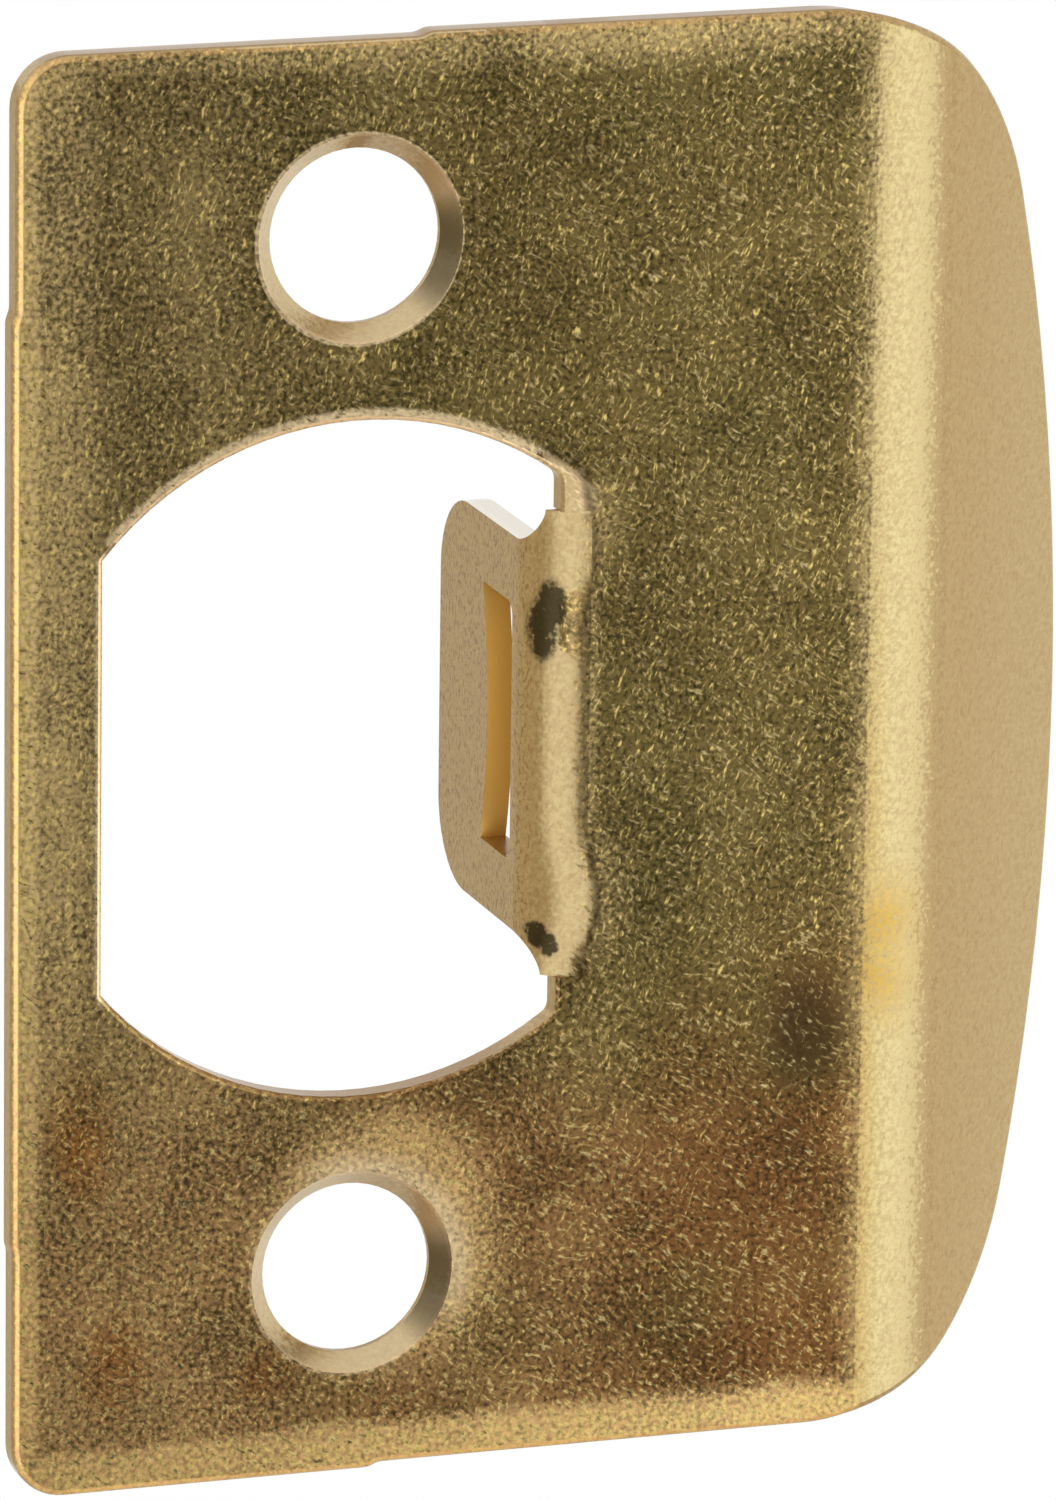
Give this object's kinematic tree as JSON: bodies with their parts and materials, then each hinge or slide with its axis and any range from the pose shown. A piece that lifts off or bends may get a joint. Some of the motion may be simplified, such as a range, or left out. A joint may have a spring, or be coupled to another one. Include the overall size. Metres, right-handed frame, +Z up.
{
  "type": "door strike plate",
  "caption": "Full lip door strike plate with a flat-sided round latch opening, a folded tang with a slot, countersunk screw holes and a crowned lip that curves back.",
  "frame": {"origin": "on the flat back face that beds against the door jamb, midway between the two screw holes", "axes": "+Z up along the plate's long side, -Y out of the face that shows, +X towards the curved lip, +Y into the jamb"},
  "size_m": [0.0444, 0.0117, 0.0574],
  "materials": {
    "plated_sheet": "satin"
  },
  "bodies": {
    "root": {"strike_plate": "plated_sheet"}
  },
  "joints": []
}
